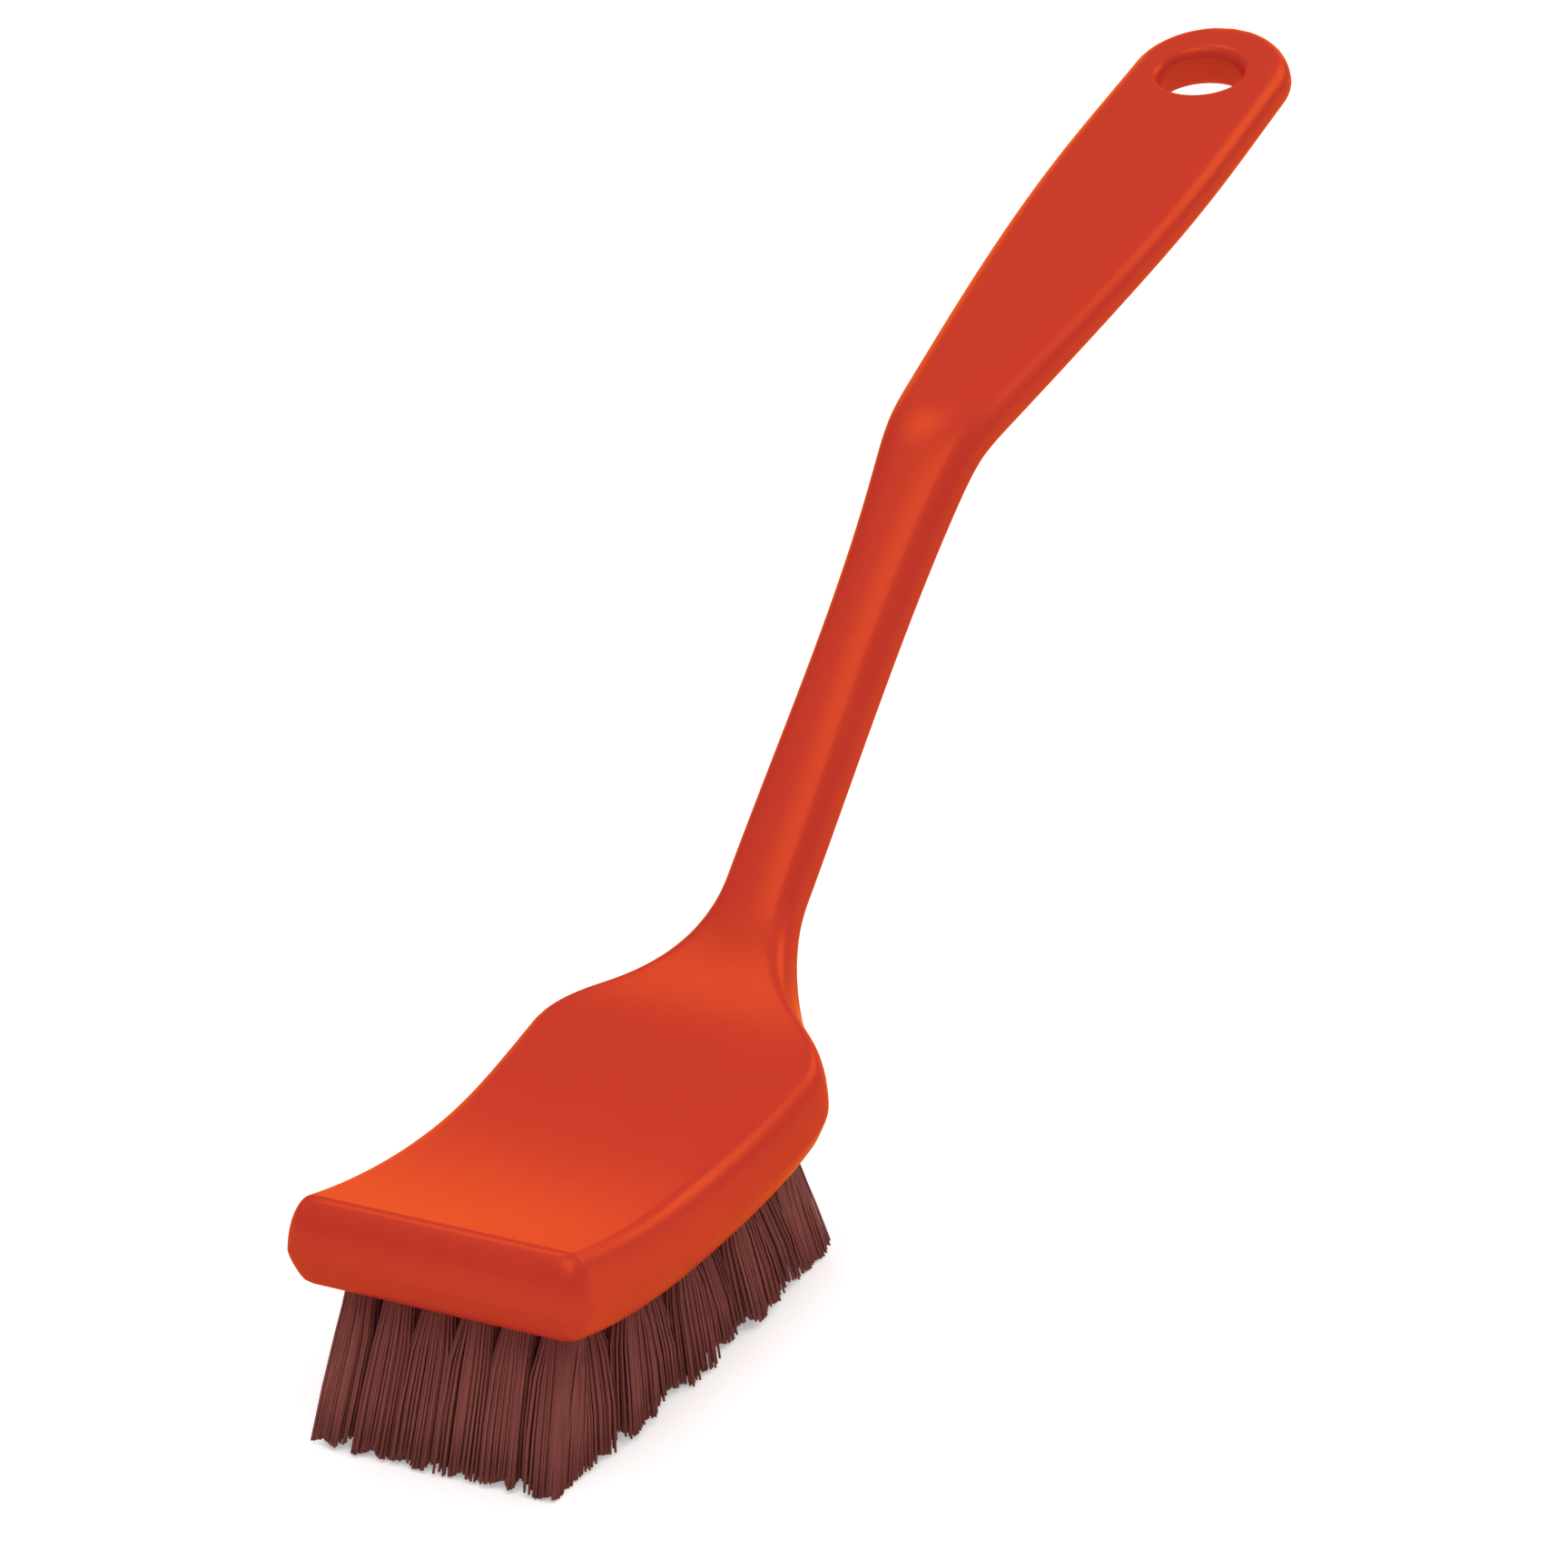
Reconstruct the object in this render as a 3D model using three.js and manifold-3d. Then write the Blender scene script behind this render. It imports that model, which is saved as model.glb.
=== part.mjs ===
// Dish brush: a head and handle moulded in one piece, with tufts of stiff bristles stapled into
// the underside of the head. Millimetres, +Z up, +X from the head's front to the hanging hole.
import * as THREE from "three";
import { mergeVertices } from "three/addons/utils/BufferGeometryUtils.js";
import Module from "manifold-3d";

const wasm = await Module();
wasm.setup();
const { degToRad, lerp, clamp } = THREE.MathUtils;

// Head: a slab dished along its length, with edges that come to a parting line below mid height
const headLength = 72;
const headThickness = 13.1;
const headFrontWidth = 40; // flat part of the top, at the front edge
const headMiddleWidth = 38.8;
const headRearWidth = 41.4; // just before the shoulders
const headEdgeRoll = 4; // how far the edge stands out past the flat part
const headCornerRadius = 1; // of the flat part
const headCornerGrowth = 0.7; // how much rounder the corner gets for each mm that the edge stands out
const headDishRadius = 146;
const headDishRun = 36; // from the front edge to the lowest point of the dish
const partingDepth = 8.2; // of the parting line, below the top of the head
const partingRidge = 1.6; // how far the edge leans back above that line
const undersideTaper = 1.3; // how far the head's edge leans in below that line
const undersideCrispness = 8; // how tightly it then turns to the underside
const headEdgeSquareness = 0.75; // 1 makes an edge elliptic, less makes it flatter with tighter corners

// Shoulders, neck and shaft, which climb away from the head
const shoulderLength = 7;
const shoulderLead = 2.5; // how far before the end of the head they start to round
const shoulderWidth = 30.8; // flat parts again, as on the shaft and grip
const shoulderTaper = -2.4; // how fast the width falls where the shoulders end
const neckRadius = 50;
const neckFlareRun = 5; // how far the neck's flare runs on up the shaft
const shaftAngle = degToRad(43);
const shaftLength = 79;
const shaftFootWidth = 6.8;
const shaftTopWidth = 8.6;
const shaftFootThickness = 9.4;
const shaftTopThickness = 9.2;
const shaftEdgeRoll = 2.9;

// Bend and grip: a flat paddle that widens towards a round end
const bendRadius = 24;
const gripAngle = degToRad(15);
const gripLength = 117;
const gripWidth = 21.8; // at the widest place
const gripEndWidth = 20.6; // diameter of the round end's flat part
const gripWidestSetback = 38; // widest place, measured back from the end
const gripFlare = 0.17; // how fast the grip widens as it leaves the bend
const gripThickness = 7.6;
const gripThinningRun = 50; // past the bend, until the grip is down to its thickness
const gripEdgeRoll = 2.8;
const gripEdgeSquareness = 0.8;
const gripPartingRidge = 0.55;

// Hanging hole, square to the grip
const holeDiameter = 14;
const holeRimRadius = 2;
const holeSetback = 13.6; // from the end of the grip's flat part

// Bristle tufts: staggered rows that fan out along the head
const bristleLength = 19.6; // below the lowest place of the head's underside
const tuftRows = 9;
const tuftsPerRow = 6; // every second row has one fewer
const tuftFrontMargin = 6.5;
const tuftRearMargin = 1.5;
const tuftSideMargin = 4.2; // in from the edge of the flat part
const tuftFrontLean = degToRad(-16);
const tuftRearLean = degToRad(22.5);
const tuftSideLean = degToRad(4);
const tuftHoleDiameter = 5.2;
const strandsInRing = 5; // round one strand in the middle
const strandRootRadius = 0.8;
const strandTipRadius = 1.55;
const strandRootSpread = 1.6; // radius of the ring of strands at the underside
const strandTipSpreadAlong = 3; // and at the trimmed ends, along the head
const strandTipSpreadAcross = 2.4;
const trimDepth = 0.5; // how deep the longest strands are cut flat
const trimRaggedness = 1.1; // between the longest strand and the shortest
const trimPattern = { strand: 7, tuft: 3, row: 5 }; // turns, in radians, of the wave that sets each length

// Backing strips that the strands grow from, let into the head's underside
const stripDepth = 2;
const stripMargin = 2.8; // past the centres of the outer tufts
const strips = [
  { name: "bristles_front", rows: 2 },
  { name: "bristles_mid_front", rows: 2 },
  { name: "bristles_mid_rear", rows: 2 },
  { name: "bristles_rear", rows: 3 },
];

// Flat wire anchors, one through the fold of each tuft
const anchorThickness = 0.5;
const anchorHeight = 2;
const anchorDepth = 5.5; // from the underside to the anchor's lower edge
const foldThickness = 1.3; // bristle folded over the anchor

const fitGap = 0.3; // clearance between pieces that seat in one another
const cutOverrun = 3; // how far a cutter reaches past the face that it cuts
const noseHalfWidth = 0.3; // half the last facet of the round end

// Facets
const edgeSteps = 8;
const rimSteps = 4;
const stationSteps = { corner: 2, head: 10, shoulder: 4, neck: 9, shaft: 4, bend: 6, grip: 9, roundEnd: 8 };
const noseAngles = [3, 20, 40, 60, 78].map(degToRad); // stations round the front and end edges
const hangingHoleSides = 24;
const tuftHoleSides = 8;
const seatSteps = 12;
const strandSides = 4;

const mouldedPlastic = new THREE.MeshStandardMaterial({ color: 0xcc3f28, roughness: 0.42, metalness: 0 });
const bristleNylon = new THREE.MeshStandardMaterial({ color: 0x66342f, roughness: 0.6, metalness: 0 });
const anchorSteel = new THREE.MeshStandardMaterial({ color: 0xb8b8b4, roughness: 0.35, metalness: 1 });

// Positions along the top line, measured from the head's front edge
const frontSlope = -Math.asin(headDishRun / headDishRadius);
const headEndSlope = frontSlope + headLength / headDishRadius;
const shoulderEnd = headLength + shoulderLength;
const neckEnd = headLength + neckRadius * (shaftAngle - headEndSlope);
const shaftEnd = neckEnd + shaftLength;
const bendEnd = shaftEnd + bendRadius * (shaftAngle - gripAngle);
const gripEnd = bendEnd + gripLength;
const frontTopHeight = bristleLength + headThickness + headDishRadius * (1 - Math.cos(frontSlope));

// Stretches of the top line in side view: where each ends and how fast its slope turns
const topStretches = [
  { end: headLength, turn: 1 / headDishRadius },
  { end: neckEnd, turn: 1 / neckRadius },
  { end: shaftEnd, turn: 0 },
  { end: bendEnd, turn: -1 / bendRadius },
  { end: Infinity, turn: 0 },
];

function topLine(s) {
  const line = { x: Math.min(s, 0), z: frontTopHeight, slope: frontSlope };
  let start = 0;
  for (const { end, turn } of topStretches) {
    const run = clamp(s, start, end) - start;
    const slope = line.slope + run * turn;
    if (turn === 0) {
      line.x += run * Math.cos(slope);
      line.z += run * Math.sin(slope);
    } else {
      line.x += (Math.sin(slope) - Math.sin(line.slope)) / turn;
      line.z += (Math.cos(line.slope) - Math.cos(slope)) / turn;
    }
    line.slope = slope;
    start = end;
  }
  return line;
}

// Cubic curve through stations along the top line, each with a value and its rate of change
function along(s, stations) {
  const next = stations.findIndex((station) => station.at > s);
  if (next === 0) return stations[0].value;
  if (next < 0) return stations.at(-1).value;
  const [a, b] = [stations[next - 1], stations[next]];
  const span = b.at - a.at;
  const u = (s - a.at) / span;
  const eased = lerp(a.value, b.value, u * u * (3 - 2 * u));
  return eased + span * u * (1 - u) * ((1 - u) * (a.rate ?? 0) - u * (b.rate ?? 0));
}

const flatWidths = [
  { at: 0, value: headFrontWidth },
  { at: headLength / 2, value: headMiddleWidth },
  { at: headLength - shoulderLead, value: headRearWidth },
  { at: shoulderEnd, value: shoulderWidth, rate: shoulderTaper },
  { at: neckEnd + neckFlareRun, value: shaftFootWidth },
  { at: shaftEnd, value: shaftTopWidth, rate: gripFlare },
  { at: gripEnd - gripWidestSetback, value: gripWidth },
  { at: gripEnd, value: gripEndWidth },
];
const thicknesses = [
  { at: headLength, value: headThickness },
  { at: neckEnd, value: shaftFootThickness },
  { at: shaftEnd, value: shaftTopThickness },
  { at: bendEnd + gripThinningRun, value: gripThickness },
];
const edgeSquarenesses = [
  { at: headLength, value: headEdgeSquareness },
  { at: neckEnd, value: gripEdgeSquareness },
];
const edgeRolls = [
  { at: headLength, value: headEdgeRoll },
  { at: neckEnd, value: shaftEdgeRoll },
  { at: bendEnd, value: gripEdgeRoll },
];
const headShares = [
  { at: headLength, value: 1 },
  { at: neckEnd, value: 0 },
];
const partingRidges = [
  { at: headLength, value: partingRidge },
  { at: neckEnd, value: gripPartingRidge },
];
const neckTilts = [
  { at: headLength, value: 0 },
  { at: neckEnd, value: shaftAngle },
];

// Sections stand upright in the head, fan over in the neck and are square to the line after it
const tiltAt = (s) => (s < neckEnd ? along(s, neckTilts) : topLine(s).slope);

// Point of the moulding at s along the top line, y across it and a depth below the top
function place(s, y, depth) {
  const line = topLine(s);
  const tilt = tiltAt(s);
  return new THREE.Vector3(line.x + depth * Math.sin(tilt), y, line.z - depth * Math.cos(tilt));
}

function cornerInset(distance, radius) {
  const short = Math.max(radius - distance, 0);
  return radius - Math.sqrt(Math.max(radius * radius - short * short, 0));
}

// Half the width at s of the outline that lies a push outside the flat part
function halfWidth(s, push) {
  const body = along(clamp(s, 0, gripEnd), flatWidths) / 2 + push;
  const front = cornerInset(s + push, headCornerRadius + headCornerGrowth * push);
  const end = cornerInset(gripEnd + push - s, gripEndWidth / 2 + push);
  return Math.max(body - front - end, noseHalfWidth);
}

// An edge turns from a right angle at the flat top, through 0 at the parting line, to the underside
function edgeRise(s, turn) {
  return Math.abs(Math.sin(turn)) ** along(s, edgeSquarenesses);
}

function edgePush(s, turn) {
  const roll = along(s, edgeRolls);
  const ridge = along(s, partingRidges);
  const out = Math.cos(turn) ** along(s, edgeSquarenesses);
  return (roll - ridge) * out + ridge * (1 - edgeRise(s, turn));
}

// Below the parting line the head's edge is a flat taper with a tight corner, and the grip's is round
function edgeSink(s, turn) {
  const lean = (along(s, edgeRolls) - edgePush(s, turn)) / undersideTaper;
  const tapered = lean / (1 + lean ** undersideCrispness) ** (1 / undersideCrispness);
  return lerp(edgeRise(s, turn), tapered, along(s, headShares));
}

function edgeDepth(s, turn) {
  const thickness = along(s, thicknesses);
  const parting = (thickness * partingDepth) / headThickness;
  if (turn > 0) return parting * (1 - edgeRise(s, turn));
  return parting + (thickness - parting) * edgeSink(s, turn);
}

// Closed section of the moulding, whose edges turn less than a right angle past the ends
function mouldingSection({ s, reach = Math.PI / 2 }) {
  return [1, -1].flatMap((side) =>
    spread(side * reach, -side * reach, edgeSteps).map((turn) =>
      place(s, side * halfWidth(s, edgePush(s, turn)), edgeDepth(s, turn)),
    ),
  );
}

// Section of a strip let into the underside, between two depths below the top
const stripSection = (s, half, upper, lower) => [
  place(s, half, upper),
  place(s, half, lower),
  place(s, -half, lower),
  place(s, -half, upper),
];

// Evenly spaced values from a to b, both included
function spread(a, b, steps) {
  return Array.from({ length: steps + 1 }, (_, step) => lerp(a, b, step / steps));
}

// Level ring of points round a centre
function ring(centre, radius, sides, turn = 0) {
  return Array.from({ length: sides }, (_, side) => {
    const angle = turn + (side * 2 * Math.PI) / sides;
    return new THREE.Vector3(radius * Math.cos(angle), radius * Math.sin(angle), 0).add(centre);
  });
}

// Closed body through sections that all have the same number of points
function loft(sections) {
  const count = sections[0].length;
  const index = [];
  for (let ring = 0; ring + 1 < sections.length; ring += 1) {
    for (let point = 0; point < count; point += 1) {
      const a = ring * count + point;
      const b = ring * count + ((point + 1) % count);
      index.push(a, a + count, b, b, a + count, b + count);
    }
  }
  const last = (sections.length - 1) * count;
  for (let point = 1; point + 1 < count; point += 1) {
    index.push(0, point, point + 1, last, last + point + 1, last + point);
  }
  return new THREE.BufferGeometry().setFromPoints(sections.flat()).setIndex(index);
}

// Joining and cutting
function toSolid(geometry) {
  const bare = geometry.clone();
  bare.deleteAttribute("normal");
  bare.deleteAttribute("uv");
  const welded = mergeVertices(bare);
  const triVerts = [];
  for (let i = 0; i < welded.index.count; i += 3) {
    const corners = [0, 1, 2].map((corner) => welded.index.getX(i + corner));
    if (new Set(corners).size === corners.length) triVerts.push(...corners);
  }
  const shape = {
    numProp: 3,
    vertProperties: new Float32Array(welded.attributes.position.array),
    triVerts: new Uint32Array(triVerts),
  };
  return new wasm.Manifold(new wasm.Mesh(shape));
}

function toGeometry(solid) {
  const { vertProperties, triVerts } = solid.getMesh();
  const geometry = new THREE.BufferGeometry();
  geometry.setAttribute("position", new THREE.BufferAttribute(vertProperties, 3));
  geometry.setIndex(new THREE.BufferAttribute(triVerts, 1));
  geometry.computeVertexNormals();
  return geometry;
}

const joined = (geometries) => geometries.map(toSolid).reduce((whole, solid) => whole.add(solid));

// Stations of the moulding, closer together where it is rounded
function mouldingStations() {
  const endRadius = gripEndWidth / 2;
  const roundEnd = spread(0, Math.PI / 2, stationSteps.roundEnd).slice(1);
  const body = [
    ...spread(0, headCornerRadius, stationSteps.corner),
    ...spread(headCornerRadius, headLength, stationSteps.head).slice(1),
    ...spread(headLength, shoulderEnd, stationSteps.shoulder).slice(1),
    ...spread(shoulderEnd, neckEnd + neckFlareRun, stationSteps.neck).slice(1),
    ...spread(neckEnd + neckFlareRun, shaftEnd, stationSteps.shaft).slice(1),
    ...spread(shaftEnd, bendEnd, stationSteps.bend).slice(1),
    ...spread(bendEnd, gripEnd - endRadius, stationSteps.grip).slice(1),
    ...roundEnd.map((angle) => gripEnd - endRadius * (1 - Math.sin(angle))),
  ];
  const front = noseAngles.map((reach) => ({ s: -edgePush(0, reach), reach }));
  const end = noseAngles.map((reach) => ({ s: gripEnd + edgePush(gripEnd, reach), reach }));
  return [...front, ...body.map((s) => ({ s })), ...end.toReversed()];
}

// Bore through the grip with a rounded rim at each face
function hangingHole() {
  const bore = holeDiameter / 2;
  const mouth = bore + holeRimRadius;
  const half = gripThickness / 2;
  const rim = spread(0, Math.PI / 2, rimSteps).map((angle) => ({
    radius: mouth - holeRimRadius * Math.sin(angle),
    height: half - holeRimRadius * (1 - Math.cos(angle)),
  }));
  const profile = [
    new THREE.Vector2(0, -half - cutOverrun),
    new THREE.Vector2(mouth, -half - cutOverrun),
    ...rim.map(({ radius, height }) => new THREE.Vector2(radius, -height)),
    ...rim.toReversed().map(({ radius, height }) => new THREE.Vector2(radius, height)),
    new THREE.Vector2(mouth, half + cutOverrun),
    new THREE.Vector2(0, half + cutOverrun),
  ];
  const centre = place(gripEnd - holeSetback, 0, half);
  return new THREE.LatheGeometry(profile, hangingHoleSides)
    .rotateX(Math.PI / 2)
    .rotateY(-gripAngle)
    .translate(...centre);
}

// Tufts in staggered rows, each with its place on the underside and its lean
const rowAt = (row) => lerp(tuftFrontMargin, headLength - tuftRearMargin, row / (tuftRows - 1));
const outerTuft = headFrontWidth / 2 - tuftSideMargin;

function rowOfTufts(row) {
  const lean = lerp(tuftFrontLean, tuftRearLean, row / (tuftRows - 1));
  const pitch = (2 * outerTuft) / (tuftsPerRow - 1);
  const count = tuftsPerRow - (row % 2);
  return Array.from({ length: count }, (_, number) => {
    const y = (number - (count - 1) / 2) * pitch;
    const root = place(rowAt(row), y, along(rowAt(row), thicknesses));
    const turn = new THREE.Euler((tuftSideLean * y) / outerTuft, -lean, 0, "YXZ");
    const frame = new THREE.Matrix4().makeRotationFromEuler(turn).setPosition(root);
    return { row, number, frame };
  });
}

const tufts = Array.from({ length: tuftRows }, (_, row) => rowOfTufts(row)).flat();

// Hole depth and widths follow the anchor and the fold that it holds
const anchorMiddle = anchorDepth + anchorHeight / 2;
const anchorLength = tuftHoleDiameter - 2 * fitGap;
const foldTop = anchorDepth + anchorHeight + fitGap + foldThickness;
const tuftHoleDepth = foldTop + fitGap;

// Upright post, measured across its flats, two of which face the ends of the anchor
function post(diameter, bottom, top) {
  const halfSide = Math.PI / tuftHoleSides;
  const radius = diameter / 2 / Math.cos(halfSide);
  const ends = [top, bottom].map((height) => new THREE.Vector3(0, 0, height));
  return loft(ends.map((end) => ring(end, radius, tuftHoleSides, halfSide)));
}

const tuftHole = ({ frame }) => post(tuftHoleDiameter, 0, tuftHoleDepth).applyMatrix4(frame);

// Folded root of a tuft, with the window that its anchor passes through
function tuftRoot({ frame }) {
  const root = post(tuftHoleDiameter - 2 * fitGap, stripDepth / 2, foldTop).applyMatrix4(frame);
  const [gapWidth, gapHeight] = [anchorThickness, anchorHeight].map((size) => size + 2 * fitGap);
  const window = new THREE.BoxGeometry(gapWidth, tuftHoleDiameter, gapHeight)
    .translate(0, 0, anchorMiddle)
    .applyMatrix4(frame);
  return toSolid(root).subtract(toSolid(window));
}

const strandSection = (centre, radius) => ring(centre, radius, strandSides, Math.PI / strandSides);

// Strands of a tuft spread from the underside to the trimmed ends, some a little shorter
function tuftStrands({ row, number, frame }) {
  const root = new THREE.Vector3().setFromMatrixPosition(frame);
  const up = new THREE.Vector3(0, 0, 1).transformDirection(frame);
  const middle = new THREE.Vector3();
  return [middle, ...ring(middle, 1, strandsInRing)].map((out, strand) => {
    const wave = trimPattern.strand * strand + trimPattern.tuft * number + trimPattern.row * row;
    const shortened = (1 + Math.sin(wave)) / 2;
    const tipHeight = trimRaggedness * shortened - trimDepth;
    const start = out.clone().multiplyScalar(strandRootSpread).setZ(stripDepth / 2).applyMatrix4(frame);
    const tip = new THREE.Vector3(out.x * strandTipSpreadAlong, out.y * strandTipSpreadAcross, 0)
      .add(root)
      .addScaledVector(up, (tipHeight - root.z) / up.z);
    return loft([strandSection(start, strandRootRadius), strandSection(tip, strandTipRadius)]);
  });
}

function stripBetween(start, end, half, upper, overrun, steps) {
  const sections = spread(start, end, steps).map((s) => {
    const thickness = along(s, thicknesses);
    return stripSection(s, half, thickness - upper, thickness + overrun);
  });
  return toSolid(loft(sections));
}

const stripHalfWidth = outerTuft + stripMargin;
const stripsStart = rowAt(0) - stripMargin;
const stripsEnd = rowAt(tuftRows - 1) + stripMargin;

// Everything below the plane that the bristle ends are trimmed to, which fan out past the head
const trimReach = headLength + bristleLength;
const belowTrim = new THREE.BoxGeometry(2 * trimReach, 2 * trimReach, cutOverrun)
  .translate(headLength / 2, 0, -cutOverrun / 2);

function handleBlock() {
  const seat = stripBetween(
    stripsStart - fitGap,
    stripsEnd + fitGap,
    stripHalfWidth + fitGap,
    stripDepth + fitGap,
    cutOverrun,
    seatSteps,
  );
  const moulding = toSolid(loft(mouldingStations().map(mouldingSection)));
  const cut = moulding.subtract(seat).subtract(toSolid(hangingHole()));
  return tufts.map(tuftHole).reduce((solid, hole) => solid.subtract(toSolid(hole)), cut);
}

function bristleStrip(firstRow, rows) {
  const lastRow = firstRow + rows - 1;
  const seam = (row) => (rowAt(row) + rowAt(row + 1)) / 2;
  const start = firstRow === 0 ? stripsStart : seam(firstRow - 1) + fitGap / 2;
  const end = lastRow === tuftRows - 1 ? stripsEnd : seam(lastRow) - fitGap / 2;
  const strip = stripBetween(start, end, stripHalfWidth, stripDepth, 0, rows);
  const onStrip = tufts.filter(({ row }) => row >= firstRow && row <= lastRow);
  return onStrip
    .map((tuft) => joined(tuftStrands(tuft)).add(tuftRoot(tuft)))
    .reduce((whole, tuft) => whole.add(tuft), strip)
    .subtract(toSolid(belowTrim));
}

function mesh(name, geometry, material) {
  const piece = new THREE.Mesh(geometry, material);
  piece.name = name;
  return piece;
}

const brush = new THREE.Group();
brush.add(mesh("handle_block", toGeometry(handleBlock()), mouldedPlastic));

let firstRow = 0;
for (const { name, rows } of strips) {
  brush.add(mesh(name, toGeometry(bristleStrip(firstRow, rows)), bristleNylon));
  firstRow += rows;
}

for (const { row, number, frame } of tufts) {
  const wire = new THREE.BoxGeometry(anchorThickness, anchorLength, anchorHeight);
  const anchor = mesh(`anchor_row${row + 1}_${number + 1}`, wire.translate(0, 0, anchorMiddle), anchorSteel);
  anchor.applyMatrix4(frame);
  brush.add(anchor);
}

// The origin is on the trim plane, below the middle of the brush's length
const bounds = new THREE.Box3().setFromObject(brush);
brush.position.x = -(bounds.min.x + bounds.max.x) / 2;

export default brush;
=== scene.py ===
import math
import random

import bmesh
import bpy
from mathutils import Matrix, Vector


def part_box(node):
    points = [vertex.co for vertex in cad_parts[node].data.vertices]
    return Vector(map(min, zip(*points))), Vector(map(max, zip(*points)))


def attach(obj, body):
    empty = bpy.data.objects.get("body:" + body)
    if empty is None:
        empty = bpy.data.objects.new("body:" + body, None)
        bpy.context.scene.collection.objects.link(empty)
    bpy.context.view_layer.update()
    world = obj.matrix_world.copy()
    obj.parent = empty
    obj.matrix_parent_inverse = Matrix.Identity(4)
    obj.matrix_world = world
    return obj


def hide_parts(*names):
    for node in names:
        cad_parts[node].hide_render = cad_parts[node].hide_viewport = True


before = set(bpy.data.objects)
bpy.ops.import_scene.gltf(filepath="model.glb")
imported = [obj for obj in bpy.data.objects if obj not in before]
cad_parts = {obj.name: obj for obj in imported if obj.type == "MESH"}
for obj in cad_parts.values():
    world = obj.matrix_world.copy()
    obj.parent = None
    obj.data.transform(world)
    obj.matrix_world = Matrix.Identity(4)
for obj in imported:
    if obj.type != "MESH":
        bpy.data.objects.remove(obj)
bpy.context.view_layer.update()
mm = 0.001
quarterTurn = math.pi / 2
goldenAngle = math.pi * (3 - math.sqrt(5))
white = (1, 1, 1, 1)
print("frame:", len(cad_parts), "CAD nodes")


class Wire:
    # a shader socket that can be used in arithmetic; node() adds any other node to the same tree
    def __init__(self, tree, socket=None):
        self.tree = tree
        self.socket = socket

    def node(self, kind, links=None, output=0, stops=(), **settings):
        made = self.tree.nodes.new("ShaderNode" + kind)
        for name, value in settings.items():
            setattr(made, name, value)
        ramp = made.color_ramp.elements if stops else []
        while len(ramp) < len(stops):
            ramp.new(1.0)
        for stop, (at, colour) in zip(ramp, stops):
            stop.position = at
            stop.color = colour
        for name, value in (links or {}).items():
            if isinstance(value, Wire):
                self.tree.links.new(value.socket, made.inputs[name])
            else:
                made.inputs[name].default_value = value
        return Wire(self.tree, made.outputs[output] if made.outputs else None)

    def combine(self, operation, first, second):
        return self.node("Math", {0: first, 1: second}, operation=operation)

    def __add__(self, other):
        return self.combine("ADD", self, other)

    def __radd__(self, other):
        return self.combine("ADD", other, self)

    def __sub__(self, other):
        return self.combine("SUBTRACT", self, other)

    def __mul__(self, other):
        return self.combine("MULTIPLY", self, other)

    def __rmul__(self, other):
        return self.combine("MULTIPLY", other, self)

    def blend(self, first, second):
        # from the first colour to the second as this value goes from 0 to 1
        return self.node("Mix", {0: self, 6: first, 7: second}, output=2, data_type="RGBA")

    def noise(self, scale, detail, roughness=0.5):
        # cloudy values from 0 to 1 at the places that this socket gives
        links = {"Vector": self, "Scale": scale, "Detail": detail, "Roughness": roughness}
        return self.node("TexNoise", links)


def newMaterial(name):
    material = bpy.data.materials.new(name)
    material.use_nodes = True
    material.node_tree.nodes.clear()
    return material, Wire(material.node_tree)


def rgb(red, green, blue):
    # linear colour from the usual 0-255 values
    values = [channel / 255 for channel in (red, green, blue)]
    return [v / 12.92 if v < 0.04045 else ((v + 0.055) / 1.055) ** 2.4 for v in values] + [1]


def meshFrom(name, bm):
    mesh = bpy.data.meshes.new(name)
    bm.to_mesh(mesh)
    bm.free()
    return mesh


def addObject(name, data):
    added = bpy.data.objects.new(name, data)
    bpy.context.scene.collection.objects.link(added)
    return added


def addPiece(name, bm, material, node):
    mesh = meshFrom(name, bm)
    mesh.materials.append(material)
    piece = addObject(name, mesh)
    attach(piece, "root")
    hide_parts(node)
    return piece


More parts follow.
